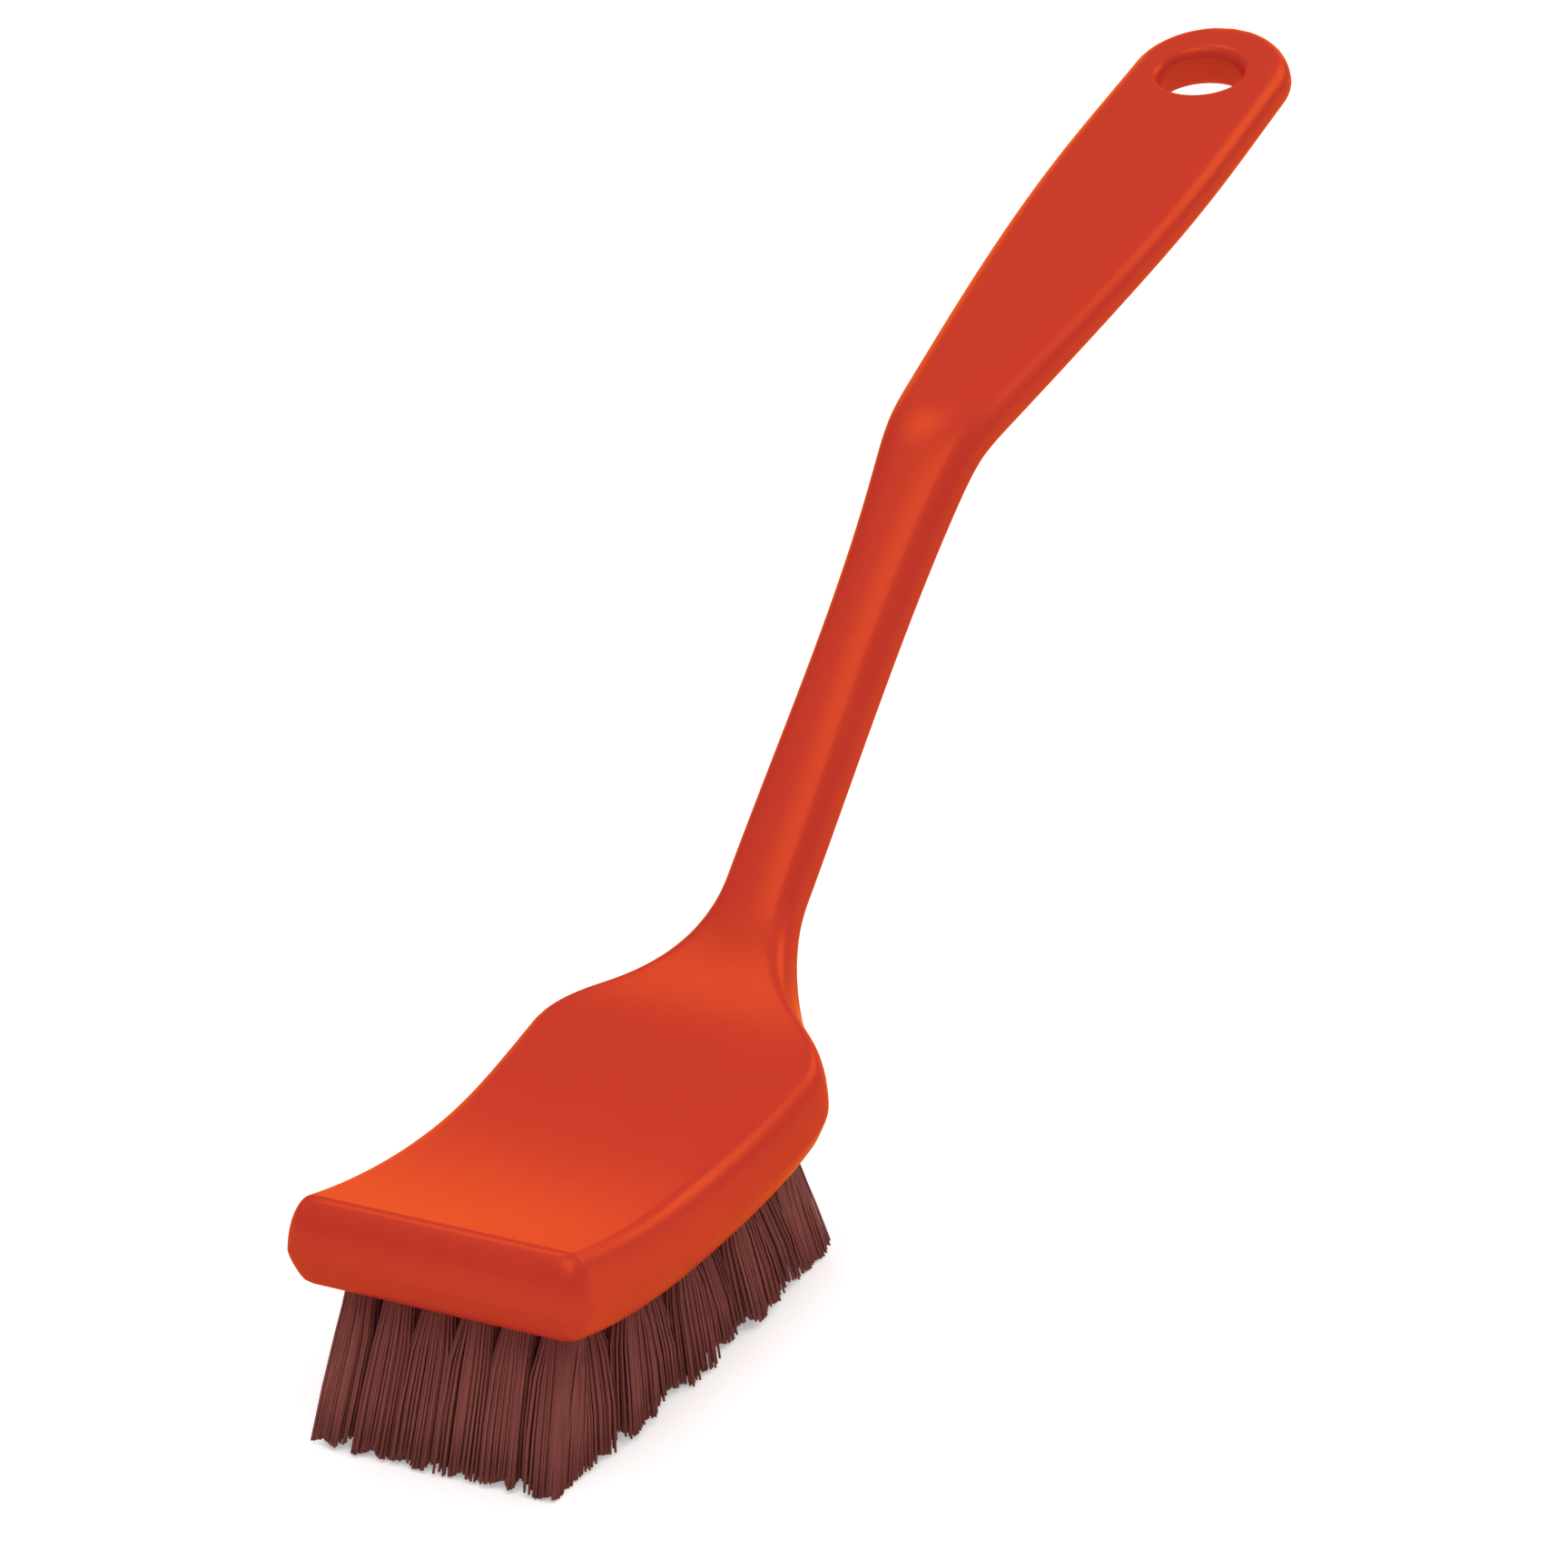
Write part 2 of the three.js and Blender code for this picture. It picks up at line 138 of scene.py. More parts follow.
# sizes of the moulding in mm and degrees; its top line starts at the head's front edge
moulding = {
    "headLength": 72, "headThickness": 13.1, "headDishRadius": 146, "headDishRun": 36,
    "headWidths": (40, 39.5, 41.6),  # of the flat top, at the front, middle and rear
    "headEdgeRoll": 4,  # how far the edge stands out past the flat top
    "headCornerRadius": 1, "headCornerGrowth": 0.7,  # rounder by that much for each mm outwards
    "shoulderLead": 2.5, "shoulderLength": 7, "shoulderWidth": 30.8, "shoulderTaper": -2.4,
    "neckRadius": 50, "neckFlareRun": 5,
    "shaftAngle": 43, "shaftLength": 79,
    "shaftWidths": (6.2, 7.5), "shaftThickness": (8.5, 8.3),  # at the foot and the top
    "shaftEdgeRoll": 3.5,  # softer than the solid's, like the grip's
    "bendRadius": 24, "gripAngle": 15, "gripLength": 116.1, "gripWidth": 20, "gripEndWidth": 19.2,
    "gripWidestSetback": 37.1, "gripFlare": 0.17, "gripThickness": 7.6, "gripThinningRun": 50,
    "gripEdgeRoll": 4.1,
    "bristleLength": 19.6,  # below the lowest place of the head's underside
    "headEdgeSquareness": 0.9, "gripEdgeSquareness": 0.8,  # 1 is elliptic, less has tighter corners
    "partingDepth": 8.2, "partingRidges": (0.4, 0.3),  # where the edges stand out most, and how much
    "undersideTaper": 1.9,  # how far the head's edge leans in below that line
    "undersideCrispness": 10,  # how tightly it then turns to the underside
    "undersideShare": 0.6,  # of that taper in the head's edge, where the rest is round
    "softening": 9,  # length over which one curve of the top line turns into the next
    "crown": 0.35,  # how far the handle's top falls towards its edges, where the solid's is flat
    "noseReach": 3.82,  # from the solid's front to the start of the top line
    "sectionSteps": (6, 34, 6, 18, 26, 12, 40), "endSteps": 18,  # between the joins, and round the end
    "edgeStops": (1, 0.9, 0.8, 0.7, 0.6, 0.5, 0.4, 0.3, 0.2, 0.1, 0.03, 0.004), "flatSteps": 6,
    "leastHalfWidth": 0.02, "weld": 0.0005, "sliver": 0.003, "sharpAngle": 32,
}

frontSlope = -math.asin(moulding["headDishRun"] / moulding["headDishRadius"])
shaftAngle = math.radians(moulding["shaftAngle"])
gripAngle = math.radians(moulding["gripAngle"])
headEnd = moulding["headLength"]
headEndSlope = frontSlope + headEnd / moulding["headDishRadius"]
shoulderEnd = headEnd + moulding["shoulderLength"]
neckEnd = headEnd + moulding["neckRadius"] * (shaftAngle - headEndSlope)
flareEnd = neckEnd + moulding["neckFlareRun"]
shaftEnd = neckEnd + moulding["shaftLength"]
bendEnd = shaftEnd + moulding["bendRadius"] * (shaftAngle - gripAngle)
gripEnd = bendEnd + moulding["gripLength"]
dishRise = moulding["headDishRadius"] * (1 - math.cos(frontSlope))
frontTop = moulding["bristleLength"] + moulding["headThickness"] + dishRise


def turnAt(s):
    # how fast the slope changes at a length along the top line, before softening
    turns = (
        (headEnd, 1 / moulding["headDishRadius"]), (neckEnd, 1 / moulding["neckRadius"]),
        (shaftEnd, 0), (bendEnd, -1 / moulding["bendRadius"]),
    )
    for end, turn in turns:
        if s < end:
            return turn
    return 0


def traceTopLine(step=0.25, overrun=10):
    # places a step apart, with each change of turn spread over the softening length
    reach = round(moulding["softening"] / 2 / step)
    count = round((gripEnd + overrun) / step)
    turns = [turnAt((i + 0.5) * step) for i in range(-reach, count + reach + 1)]
    x, z, slope = 0, frontTop, frontSlope
    line = []
    for i in range(count):
        line.append((x, z, slope))
        bend = sum(turns[i:i + 2 * reach + 1]) / (2 * reach + 1) * step
        x += math.cos(slope + bend / 2) * step
        z += math.sin(slope + bend / 2) * step
        slope += bend
    return step, line


topStep, topPlaces = traceTopLine()


def topLine(s):
    # x, z and slope at a length along the line
    if s <= 0:
        return s, frontTop, frontSlope
    i = min(int(s / topStep), len(topPlaces) - 2)
    share = s / topStep - i
    return [a + (b - a) * share for a, b in zip(topPlaces[i], topPlaces[i + 1])]


def along(s, stations):
    # smooth curve through stations of length, value and rate of change
    if s <= stations[0][0]:
        return stations[0][1]
    for (at, a, rateA), (end, b, rateB) in zip(stations, stations[1:]):
        if s < end:
            u = (s - at) / (end - at)
            eased = a + (b - a) * u * u * (3 - 2 * u)
            return eased + (end - at) * u * (1 - u) * ((1 - u) * rateA - u * rateB)
    return stations[-1][1]


headFront, headMiddle, headRear = moulding["headWidths"]
shaftFoot, shaftTop = moulding["shaftWidths"]
footThickness, topThickness = moulding["shaftThickness"]
headRidge, gripRidge = moulding["partingRidges"]
flatWidths = [
    (0, headFront, 0), (headEnd / 2, headMiddle, 0), (headEnd - moulding["shoulderLead"], headRear, 0),
    (shoulderEnd, moulding["shoulderWidth"], moulding["shoulderTaper"]),
    (flareEnd, shaftFoot, 0), (shaftEnd, shaftTop, moulding["gripFlare"]),
    (gripEnd - moulding["gripWidestSetback"], moulding["gripWidth"], 0),
    (gripEnd, moulding["gripEndWidth"], 0),
]
thicknesses = [
    (headEnd, moulding["headThickness"], 0), (neckEnd, footThickness, 0), (shaftEnd, topThickness, 0),
    (bendEnd + moulding["gripThinningRun"], moulding["gripThickness"], 0),
]
edgeRolls = [
    (headEnd, moulding["headEdgeRoll"], 0), (neckEnd, moulding["shaftEdgeRoll"], 0),
    (bendEnd, moulding["gripEdgeRoll"], 0),
]
edgeSquarenesses = [
    (headEnd, moulding["headEdgeSquareness"], 0), (neckEnd, moulding["gripEdgeSquareness"], 0),
]
taperShares = [(headEnd, moulding["undersideShare"], 0), (neckEnd, 0, 0)]
partingRidges = [(headEnd, headRidge, 0), (neckEnd, gripRidge, 0)]
neckTilts = [(headEnd, 0, 0), (neckEnd, shaftAngle, 0)]
crowns = [(shoulderEnd, 0, 0), (neckEnd, moulding["crown"], 0)]


def edgeRise(s, turn):
    # an edge turns from a right angle at the flat top, through 0 at the parting ridge
    return abs(math.sin(turn)) ** along(s, edgeSquarenesses)


def edgePush(s, turn):
    # how far the edge stands out past the flat top
    roll = along(s, edgeRolls)
    ridge = along(s, partingRidges)
    out = max(math.cos(turn), 0) ** along(s, edgeSquarenesses)
    return (roll - ridge) * out + ridge * (1 - edgeRise(s, turn))


def edgeSink(s, turn):
    # below the ridge the head's edge is partly a taper with a tight corner, and the handle's is round
    crisp = moulding["undersideCrispness"]
    lean = (along(s, edgeRolls) - edgePush(s, turn)) / moulding["undersideTaper"]
    tapered = lean / (1 + lean ** crisp) ** (1 / crisp)
    rounded = edgeRise(s, turn)
    return rounded + (tapered - rounded) * along(s, taperShares)


def edgeDepth(s, turn):
    thickness = along(s, thicknesses)
    parting = thickness * moulding["partingDepth"] / moulding["headThickness"]
    if turn > 0:
        return parting * (1 - edgeRise(s, turn))
    return parting + (thickness - parting) * edgeSink(s, turn)


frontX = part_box("handle_block")[0].x / mm + moulding["noseReach"]


def place(s, y, depth):
    # point of the moulding in the frame, in metres
    x, z, slope = topLine(s)
    tilt = along(s, neckTilts) if s < neckEnd else slope
    return Vector((frontX + x + depth * math.sin(tilt), y, z - depth * math.cos(tilt))) * mm


def cornerInset(distance, radius):
    # how far a round corner has drawn in, at a distance from the end that it closes
    short = max(radius - distance, 0)
    return radius - math.sqrt(max(radius * radius - short * short, 0))


def halfWidth(s, push):
    body = along(min(max(s, 0), gripEnd), flatWidths) / 2 + push
    front = cornerInset(s + push, moulding["headCornerRadius"] + moulding["headCornerGrowth"] * push)
    end = cornerInset(gripEnd + push - s, moulding["gripEndWidth"] / 2 + push)
    return max(body - front - end, moulding["leastHalfWidth"])


def topFall(s, y, depth):
    # a little lower towards the sides, and nothing at the underside
    aside = 2 * y / along(s, flatWidths)
    return along(s, crowns) * aside * aside * (1 - depth / along(s, thicknesses))


def mouldingSection(s, reach):
    # flat top and underside between edges that turn as far as the reach either way
    stops = moulding["edgeStops"]
    edge = []
    for stop in stops + (0,) + tuple(-stop for stop in reversed(stops)):
        edge.append((halfWidth(s, edgePush(s, reach * stop)), edgeDepth(s, reach * stop)))
    flats = [step / moulding["flatSteps"] for step in range(1, moulding["flatSteps"])]
    top = [(edge[0][0] * share, edge[0][1]) for share in flats]
    under = [(edge[-1][0] * share, edge[-1][1]) for share in reversed(flats)]
    side = top + edge + under
    mirrored = [(-y, depth) for y, depth in reversed(side)]
    ring = [(0, edge[0][1])] + side + [(0, edge[-1][1])] + mirrored
    return [place(s, y, depth + topFall(s, y, depth)) for y, depth in ring]


def spread(a, b, steps):
    return [a + (b - a) * step / steps for step in range(steps + 1)]


def mouldingStations():
    # lengths along the top line, with the reach of the edges there
    endRadius = moulding["gripEndWidth"] / 2
    joins = [
        0, moulding["headCornerRadius"], headEnd, shoulderEnd, flareEnd, shaftEnd, bendEnd,
        gripEnd - endRadius,
    ]
    body = [0]
    for start, end, steps in zip(joins, joins[1:], moulding["sectionSteps"]):
        body += spread(start, end, steps)[1:]
    for turn in spread(0, quarterTurn, moulding["endSteps"])[1:]:
        body.append(gripEnd - endRadius * (1 - math.sin(turn)))
    nose = [quarterTurn * stop for stop in (0,) + moulding["edgeStops"][:0:-1]]
    front = [(-edgePush(0, reach), reach) for reach in nose]
    end = [(gripEnd + edgePush(gripEnd, reach), reach) for reach in reversed(nose)]
    return front + [(s, quarterTurn) for s in body] + end


def extrudeRing(bm, ring, points):
    # next ring of a loft, each vertex drawn out to its point
    edges = [bm.edges.get(pair) for pair in zip(ring, ring[1:] + ring[:1])]
    made = bmesh.ops.extrude_edge_only(bm, edges=edges)["geom"]
    fresh = {v for v in made if isinstance(v, bmesh.types.BMVert)}
    following = [next(e.other_vert(v) for e in v.link_edges if e.other_vert(v) in fresh) for v in ring]
    for v, point in zip(following, points):
        v.co = point
    return following


def loft(bm, sections):
    # the first and last sections are folded flat, so welding closes the ends
    ring = bmesh.ops.create_circle(bm, segments=len(sections[0]), radius=mm)["verts"]
    for v, point in zip(ring, sections[0]):
        v.co = point
    for section in sections[1:]:
        ring = extrudeRing(bm, ring, section)
    bmesh.ops.remove_doubles(bm, verts=bm.verts, dist=moulding["weld"] * mm)
    bmesh.ops.recalc_face_normals(bm, faces=bm.faces)


cutOverrun = 3  # mm that a cutter reaches past the face that it cuts


def cutAway(piece, cutters):
    for cutter in cutters:
        cut = piece.modifiers.new(cutter.name, "BOOLEAN")
        cut.operation = "DIFFERENCE"
        cut.solver = "EXACT"
        cut.object = cutter
    bpy.context.view_layer.update()
    whole = piece.evaluated_get(bpy.context.evaluated_depsgraph_get())
    finished = bpy.data.meshes.new_from_object(whole)
    piece.modifiers.clear()
    piece.data = finished
    for cutter in cutters:
        bpy.data.objects.remove(cutter)


# hanging hole, square to the grip, with rounded rims
hangingHole = {
    "diameter": 14, "setback": 12.7,  # from the end of the grip's flat top
    "rimRadius": 2, "rimStart": 6,  # degrees at which the rim leaves the grip's face
    "rimSteps": 10, "sides": 96, "weld": 0.001,
}


def holeCutter():
    half = moulding["gripThickness"] / 2
    rimRadius = hangingHole["rimRadius"]
    mouth = hangingHole["diameter"] / 2 + rimRadius
    upper = [(0, half + cutOverrun), (mouth, half + cutOverrun)]
    for angle in spread(hangingHole["rimStart"], 90, hangingHole["rimSteps"]):
        turn = math.radians(angle)
        upper.append((mouth - rimRadius * math.sin(turn), half - rimRadius * (1 - math.cos(turn))))
    profile = upper + [(radius, -z) for radius, z in reversed(upper)]
    bm = bmesh.new()
    verts = [bm.verts.new((radius * mm, 0, z * mm)) for radius, z in profile]
    edges = [bm.edges.new(pair) for pair in zip(verts, verts[1:])]
    bmesh.ops.spin(bm, geom=verts + edges, axis=(0, 0, 1), cent=(0, 0, 0), angle=2 * math.pi,
                   steps=hangingHole["sides"], use_merge=True)
    bmesh.ops.remove_doubles(bm, verts=bm.verts, dist=hangingHole["weld"] * mm)
    bmesh.ops.recalc_face_normals(bm, faces=bm.faces)
    centre = place(gripEnd - hangingHole["setback"], 0, half)
    seat = Matrix.Translation(centre) @ Matrix.Rotation(-gripAngle, 4, "Y")
    bmesh.ops.transform(bm, verts=bm.verts, matrix=seat)
    return addObject("hangingHoleCutter", meshFrom("hangingHoleCutter", bm))


# tufts in staggered rows that fan out along the head
tuftPlan = {
    "rows": 9, "perRow": 6,  # every second row has one fewer
    "frontMargin": 6.5, "rearMargin": 1.5, "sideMargin": 4.2,
    "frontLean": -16.5, "rearLean": 22.5, "sideLean": 4.6,
    "holeDiameter": 5.2, "holeDepth": 9.4, "holeSides": 20,
}
outerTuft = headFront / 2 - tuftPlan["sideMargin"]


def layTufts():
    tufts = []
    for row in range(tuftPlan["rows"]):
        share = row / (tuftPlan["rows"] - 1)
        start = tuftPlan["frontMargin"]
        s = start + (headEnd - tuftPlan["rearMargin"] - start) * share
        lean = tuftPlan["frontLean"] + (tuftPlan["rearLean"] - tuftPlan["frontLean"]) * share
        count = tuftPlan["perRow"] - row % 2
        for number in range(count):
            y = (number - (count - 1) / 2) * 2 * outerTuft / (tuftPlan["perRow"] - 1)
            side = math.radians(tuftPlan["sideLean"]) * y / outerTuft
            turn = Matrix.Rotation(-math.radians(lean), 4, "Y") @ Matrix.Rotation(side, 4, "X")
            root = place(s, y, along(s, thicknesses))
            tufts.append({"row": row, "frame": Matrix.Translation(root) @ turn})
    return tufts


tufts = layTufts()


def tuftHoleCutter():
    bm = bmesh.new()
    depth = (tuftPlan["holeDepth"] + cutOverrun) * mm
    middle = Matrix.Translation((0, 0, depth / 2 - cutOverrun * mm))
    radius = tuftPlan["holeDiameter"] / 2 * mm
    for tuft in tufts:
        bmesh.ops.create_cone(bm, cap_ends=True, segments=tuftPlan["holeSides"], radius1=radius,
                              radius2=radius, depth=depth, matrix=tuft["frame"] @ middle)
    return addObject("tuftHoleCutter", meshFrom("tuftHoleCutter", bm))


# satin moulded plastic, whose gloss is more orange than its body
plasticLook = {
    "deep": rgb(195, 50, 45), "bright": rgb(203, 58, 46), "gloss": rgb(243, 112, 2),
    "sheen": (1.0, 0.6, 0.1, 1), "glossFacing": 0.07, "glossGrazing": 0.6, "ior": 1.5,
    "roughness": 0.31, "smudging": 0.06, "grainStrength": 0.04, "grainDepth": 0.1,
    "clouds": (45.0, 3.0, 0.55), "smudges": (160.0, 4.0, 0.6), "grain": (2600.0, 2.0),  # noise settings
}


def satinPlastic():
    look = plasticLook
    material, tree = newMaterial("satinPlastic")
    spot = tree.node("TexCoord", output="Object")
    clouds = spot.noise(*look["clouds"])
    smudges = spot.noise(*look["smudges"])
    grain = spot.noise(*look["grain"])
    relief = {"Strength": look["grainStrength"], "Distance": look["grainDepth"] * mm, "Height": grain}
    bump = tree.node("Bump", relief)
    roughness = look["roughness"] + look["smudging"] * (smudges - 0.5)
    body = tree.node("BsdfPrincipled", {
        "Base Color": clouds.blend(look["deep"], look["bright"]), "Roughness": roughness,
        "Specular IOR Level": 0.0, "Normal": bump,
    })
    gloss = tree.node("BsdfPrincipled", {
        "Base Color": look["gloss"], "Roughness": roughness, "Metallic": 1.0,
        "Specular Tint": look["sheen"], "Normal": bump,
    })
    grazing = tree.node("Fresnel", {"IOR": look["ior"], "Normal": bump})
    shine = look["glossFacing"] + look["glossGrazing"] * grazing
    shader = tree.node("MixShader", {0: shine, 1: body, 2: gloss})
    tree.node("OutputMaterial", {"Surface": shader})
    return material


def shadeMoulding(piece):
    # clears what the cuts leave behind, and keeps only the sharp edges sharp
    bm = bmesh.new()
    bm.from_mesh(piece.data)
    manySided = [face for face in bm.faces if len(face.verts) > 4]
    bmesh.ops.triangulate(bm, faces=manySided, ngon_method="BEAUTY")
    bmesh.ops.dissolve_degenerate(bm, dist=moulding["sliver"] * mm, edges=bm.edges)
    for face in bm.faces:
        face.smooth = True
    for edge in bm.edges:
        edge.smooth = edge.calc_face_angle(0) < math.radians(moulding["sharpAngle"])
    bm.to_mesh(piece.data)
    bm.free()
    even = piece.modifiers.new("evenNormals", "WEIGHTED_NORMAL")
    even.keep_sharp = True


def buildMoulding():
    bm = bmesh.new()
    loft(bm, [mouldingSection(s, reach) for s, reach in mouldingStations()])
    piece = addPiece("moulding", bm, satinPlastic(), "handle_block")
    cutAway(piece, [holeCutter(), tuftHoleCutter()])
    shadeMoulding(piece)
    print("moulding:", len(piece.data.polygons), "faces")


buildMoulding()


# bristle filaments
bristles = {
    "perTuft": 260, "diameter": 0.42, "sides": 4, "rings": 5, "seed": 31,
    "rootRadius": 2.5, "rootDepth": 4.8,  # packed in the hole, up to the anchor
    "spreadAlong": 5.0, "spreadAcross": 3.9, "squareness": 0.3,  # at the trimmed ends
    "trimAlong": 0.2, "trimAcross": 0.05, "cornerTrim": 0.85,  # less spread outwards round the brush
    "shortRowFan": 2.6,  # more in the short rows
    "earlyFan": 3.2,  # how soon they spread to fill the gaps between tufts
    "wander": 0.14, "trimSpread": 0.7, "splayLift": 0.4, "raggedness": 0.12,
    "lobes": 5, "lobeLift": 1.7,  # clumps round each tuft's edge, and the notches between them
    "middleTone": 0.5, "tuftToneSpread": 0.08, "toneSpread": 0.06,
}
bristleRows = {
    "tuftsFront": ("bristles_front", 0, 1), "tuftsMidFront": ("bristles_mid_front", 2, 3),
    "tuftsMidRear": ("bristles_mid_rear", 4, 5), "tuftsRear": ("bristles_rear", 6, 8),
}
filamentLook = {
    "browns": ((0.1, rgb(119, 61, 56)), (0.5, rgb(143, 78, 71)), (0.9, rgb(164, 96, 87))),
    "streaks": (260.0, 2.0), "streakShare": 0.25,
    "roughness": 0.55, "streakRoughness": 0.15, "specular": 0.12,
}


def brownFilament():
    look = filamentLook
    material, tree = newMaterial("brownFilament")
    tone = tree.node("Attribute", output="Fac", attribute_name="tone")
    streak = tree.node("TexCoord", output="Object").noise(*look["streaks"])
    shade = tone * (1 - look["streakShare"]) + streak * look["streakShare"]
    shader = tree.node("BsdfPrincipled", {
        "Base Color": tree.node("ValToRGB", {"Fac": shade}, stops=look["browns"]),
        "Roughness": look["roughness"] + look["streakRoughness"] * streak,
        "Specular IOR Level": look["specular"],
    })
    tree.node("OutputMaterial", {"Surface": shader})
    return material


def filamentTemplate():
    # straight closed tube along -Z with a ring at each whole number, for filamentPath's points
    bm = bmesh.new()
    ring = bmesh.ops.create_circle(bm, segments=bristles["sides"], radius=1)["verts"]
    rings = [ring]
    for stop in range(1, bristles["rings"]):
        rings.append(extrudeRing(bm, rings[-1], [Vector((v.co.x, v.co.y, -stop)) for v in ring]))
    for end in (rings[0], rings[-1]):
        bmesh.ops.contextual_create(bm, geom=end)
    bmesh.ops.recalc_face_normals(bm, faces=bm.faces)
    return meshFrom("filament", bm)


def wobble(dice):
    return Vector((dice.gauss(0, bristles["wander"]), dice.gauss(0, bristles["wander"]), 0))


def filamentEnd(tuft, disc, rims, aside, outerRow, dice):
    # offset of the trimmed end from the middle of its tuft
    square = disc + disc * bristles["squareness"] * (2 * disc.x * disc.y) ** 2
    keptAlong = 1 - bristles["trimAlong"] * rims[0]
    keptAcross = 1 - (bristles["trimAcross"] + bristles["cornerTrim"] * abs(outerRow)) * rims[1]
    end = Vector((square.x * bristles["spreadAlong"] * keptAlong, 0, 0))
    end.y = square.y * bristles["spreadAcross"] * keptAcross
    end.y += bristles["shortRowFan"] * (tuft["row"] % 2) * aside
    return end + wobble(dice)


def tipHeight(tuft, out, angle, dice):
    notch = 1 - abs(math.sin(bristles["lobes"] * angle / 2 + tuft["phase"]))
    lift = bristles["lobeLift"] * out * notch + bristles["splayLift"] * out ** 3
    return (tuft["trim"] + lift + bristles["raggedness"] * dice.random()) * mm


def filamentPath(tuft, index, dice):
    # centre points from inside the hole to the trimmed end
    turn = tuft["frame"].to_3x3()
    root = tuft["frame"].to_translation()
    down = turn @ Vector((0, 0, -1))
    out = math.sqrt((index + 0.5) / bristles["perTuft"])
    angle = index * goldenAngle
    disc = Vector((out * math.cos(angle), out * math.sin(angle), 0))
    aside = root.y / mm / outerTuft
    outerRow = (tuft["row"] == tuftPlan["rows"] - 1) - (tuft["row"] == 0)  # -1 in front, 1 at the rear
    rims = (max(disc.x * outerRow, 0), max(disc.y * aside, 0))  # 1 on the outside of the whole brush
    start = turn @ (disc * bristles["rootRadius"])
    end = filamentEnd(tuft, disc, rims, aside, outerRow, dice)
    bow = wobble(dice)
    tip = tipHeight(tuft, out, angle, dice)
    length = (root.z - tip) / -down.z
    points = [root + start * mm - down * bristles["rootDepth"] * mm, root + start * mm]
    for stop in range(1, bristles["rings"] - 1):
        share = stop / (bristles["rings"] - 2)
        fanned = bow * share * (1 - share)
        for axis, rim in enumerate(rims):
            fan = 1 - (1 - share) ** (1 + bristles["earlyFan"] * (1 - rim))
            fanned[axis] += start[axis] + (end[axis] - start[axis]) * fan
        fanned.z += start.z * (1 - share)
        points.append(root + down * length * share + fanned * mm)
    points[-1].z = tip
    return points


def buildTufts(name, node, firstRow, lastRow, material, template, dice):
    wanted = [tuft for tuft in tufts if firstRow <= tuft["row"] <= lastRow]
    bm = bmesh.new()
    tone = bm.verts.layers.float.new("tone")
    radius = bristles["diameter"] / 2 * mm
    for tuft in wanted:
        tuft["trim"] = bristles["trimSpread"] * dice.random()
        tuft["phase"] = 2 * math.pi * dice.random()
        tuftTone = bristles["middleTone"] + dice.gauss(0, bristles["tuftToneSpread"])
        for index in range(bristles["perTuft"]):
            before = len(bm.verts)
            bm.from_mesh(template)
            bm.verts.ensure_lookup_table()
            points = filamentPath(tuft, index, dice)
            filamentTone = min(max(tuftTone + dice.gauss(0, bristles["toneSpread"]), 0), 1)
            for v in bm.verts[before:]:
                centre = points[round(-v.co.z)]
                v.co = centre + Vector((v.co.x, v.co.y, 0)) * radius
                v[tone] = filamentTone
    for face in bm.faces:
        face.smooth = len(face.verts) == 4
    addPiece(name, bm, material, node)
    print(name + ":", len(wanted) * bristles["perTuft"], "filaments")


dice = random.Random(bristles["seed"])
filament = filamentTemplate()
brown = brownFilament()
for name, (node, firstRow, lastRow) in bristleRows.items():
    buildTufts(name, node, firstRow, lastRow, brown, filament, dice)
bpy.data.meshes.remove(filament)


# flat wire anchors keep their solids
wireLook = {
    "dark": rgb(150, 150, 147), "bright": rgb(205, 205, 201),
    "drawing": (6000.0, 200.0, 6000.0), "scratches": (1.0, 3.0),  # long scratches, the way it was drawn
    "roughness": 0.25, "scratchRoughness": 0.2,
}


def flatWire():
    look = wireLook
    material, tree = newMaterial("flatWire")
    spot = tree.node("TexCoord", output="Object")
    drawn = tree.node("Mapping", {"Vector": spot, "Scale": look["drawing"]})
    scratches = drawn.noise(*look["scratches"])
    shader = tree.node("BsdfPrincipled", {
        "Base Color": scratches.blend(look["dark"], look["bright"]), "Metallic": 1.0,
        "Roughness": look["roughness"] + look["scratchRoughness"] * scratches,
    })
    tree.node("OutputMaterial", {"Surface": shader})
    return material


wire = flatWire()
for nodeName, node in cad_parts.items():
    if nodeName.startswith("anchor_"):
        node.data.materials.clear()
        node.data.materials.append(wire)
print("anchors finished")


# pale floor, soft light and the photograph's camera; metres, apart from the camera's mm
studio = {
    "floorSize": 6.0, "floorColour": (0.9, 0.9, 0.9, 1), "floorGlow": 0.36,
    "horizonLight": 0.34, "zenithLight": 0.7, "softboxAim": (0, 0, 0.05),
    "cameraFromFront": (-680.6, -390.4, 422.3), "cameraLook": (0.8293, 0.4115, -0.3781),
    "lens": 145.4, "sensor": 36,
}
softboxes = {
    "overheadBox": {"place": (0.15, 0.55, 1.3), "size": (0.5, 0.4), "watts": 2.1},
    "rightBox": {"place": (1.3, -0.8, 0.85), "size": (0.9, 0.7), "watts": 6.0},
    "backBox": {"place": (2.0, 0.9, 0.5), "size": (2.4, 0.9), "watts": 11.5},
    "frontBox": {"place": (-0.7, -0.3, 1.35), "size": (1.3, 1.0), "watts": 8.4},
}


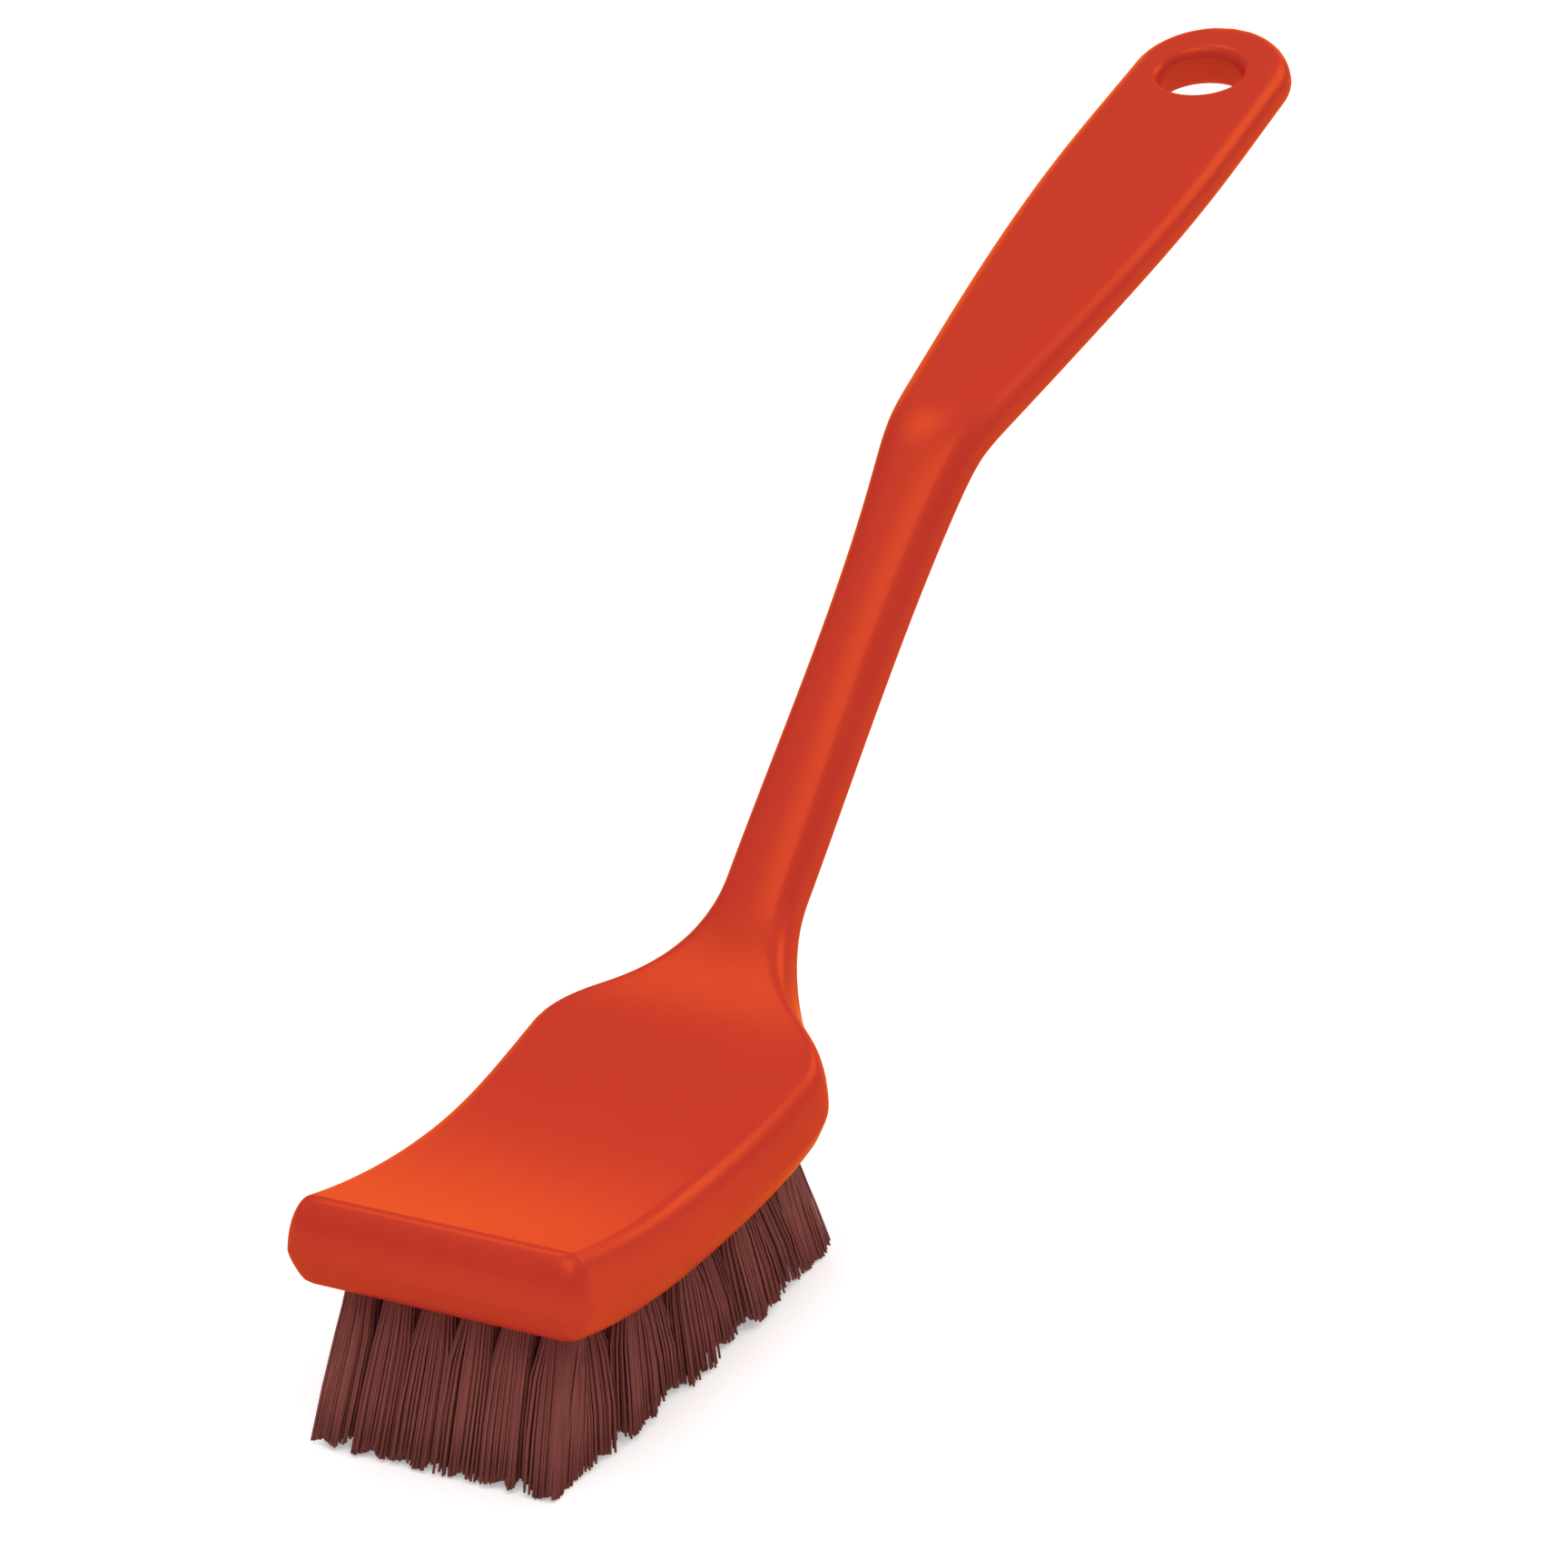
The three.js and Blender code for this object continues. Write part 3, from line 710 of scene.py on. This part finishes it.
def floorMaterial():
    # glows for the camera and in reflections, and lights nothing else
    material, tree = newMaterial("paleFloor")
    matte = tree.node("BsdfDiffuse", {"Color": studio["floorColour"]})
    glow = tree.node("Emission", {"Color": white, "Strength": studio["floorGlow"]})
    both = tree.node("AddShader", {0: matte, 1: glow})
    camera, glossy, through = [
        tree.node("LightPath", output=f"Is {ray} Ray") for ray in ("Camera", "Glossy", "Transmission")
    ]
    shader = tree.node("MixShader", {0: camera + glossy + through, 1: matte, 2: both})
    tree.node("OutputMaterial", {"Surface": shader})
    return material


def paleFloor():
    bm = bmesh.new()
    bmesh.ops.create_grid(bm, x_segments=1, y_segments=1, size=studio["floorSize"] / 2)
    mesh = meshFrom("paleFloor", bm)
    mesh.materials.append(floorMaterial())
    floor = addObject("paleFloor", mesh)


def addSoftbox(name, box):
    lamp = bpy.data.lights.new(name, "AREA")
    lamp.shape = "RECTANGLE"
    lamp.size, lamp.size_y = box["size"]
    lamp.energy = box["watts"]
    softbox = addObject(name, lamp)
    softbox.location = box["place"]
    aim = Vector(studio["softboxAim"]) - Vector(box["place"])
    softbox.rotation_euler = aim.to_track_quat("-Z", "Y").to_euler()


def setRoom():
    # brighter overhead than along the horizon
    world = bpy.data.worlds.new("studioRoom")
    world.use_nodes = True
    world.node_tree.nodes.clear()
    tree = Wire(world.node_tree)
    up = tree.node("SeparateXYZ", {"Vector": tree.node("TexCoord", output="Generated")}, output="Z")
    height = up.combine("MAXIMUM", up, 0.0)
    light = studio["horizonLight"] + (studio["zenithLight"] - studio["horizonLight"]) * height
    room = tree.node("Background", {"Color": white, "Strength": light})
    tree.node("OutputWorld", {"Surface": room})
    bpy.context.scene.world = world


def setCamera():
    lens = bpy.data.cameras.new("photoCamera")
    lens.lens = studio["lens"]
    lens.sensor_width = studio["sensor"]
    camera = addObject("photoCamera", lens)
    camera.location = (Vector((frontX, 0, 0)) + Vector(studio["cameraFromFront"])) * mm
    camera.rotation_euler = Vector(studio["cameraLook"]).to_track_quat("-Z", "Y").to_euler()
    bpy.context.scene.camera = camera


paleFloor()
for name, box in softboxes.items():
    addSoftbox(name, box)
setRoom()
setCamera()
bpy.context.scene.view_settings.view_transform = "Standard"
print("studio set")
